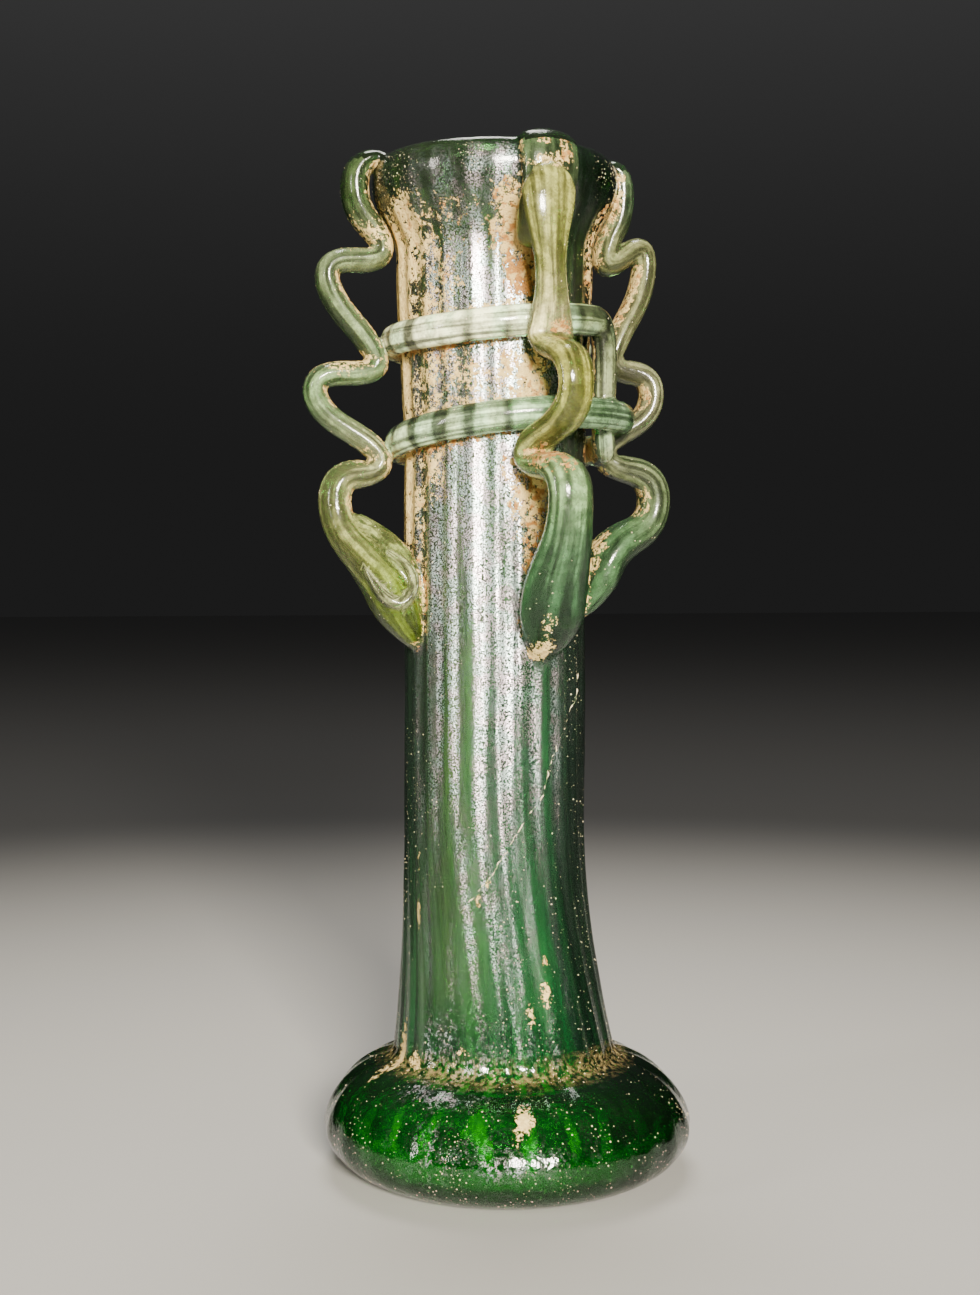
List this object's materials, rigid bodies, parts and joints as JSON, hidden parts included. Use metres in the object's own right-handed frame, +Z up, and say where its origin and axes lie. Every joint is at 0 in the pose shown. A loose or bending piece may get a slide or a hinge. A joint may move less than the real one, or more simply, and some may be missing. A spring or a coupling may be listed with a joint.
{
  "type": "four-handled ribbed glass cosmetic jar",
  "caption": "Tall ribbed green glass tube jar on a cushion foot, with a wound trail and four zigzag handles folded over its thick lip.",
  "frame": {"origin": "centre of the foot's flat underside, on the surface that the jar stands on", "axes": "+Z up out of the mouth, -Y out through the front handle, +X out through the right-hand handle, beside which the trail has its free end and its step up"},
  "size_m": [0.0562, 0.0538, 0.1455],
  "materials": {
    "green_glass": "see-through green glass, weathered, with tan and cream crust in the creases and milky patches"
  },
  "bodies": {
    "root": {"jar": "green_glass"}
  },
  "joints": []
}
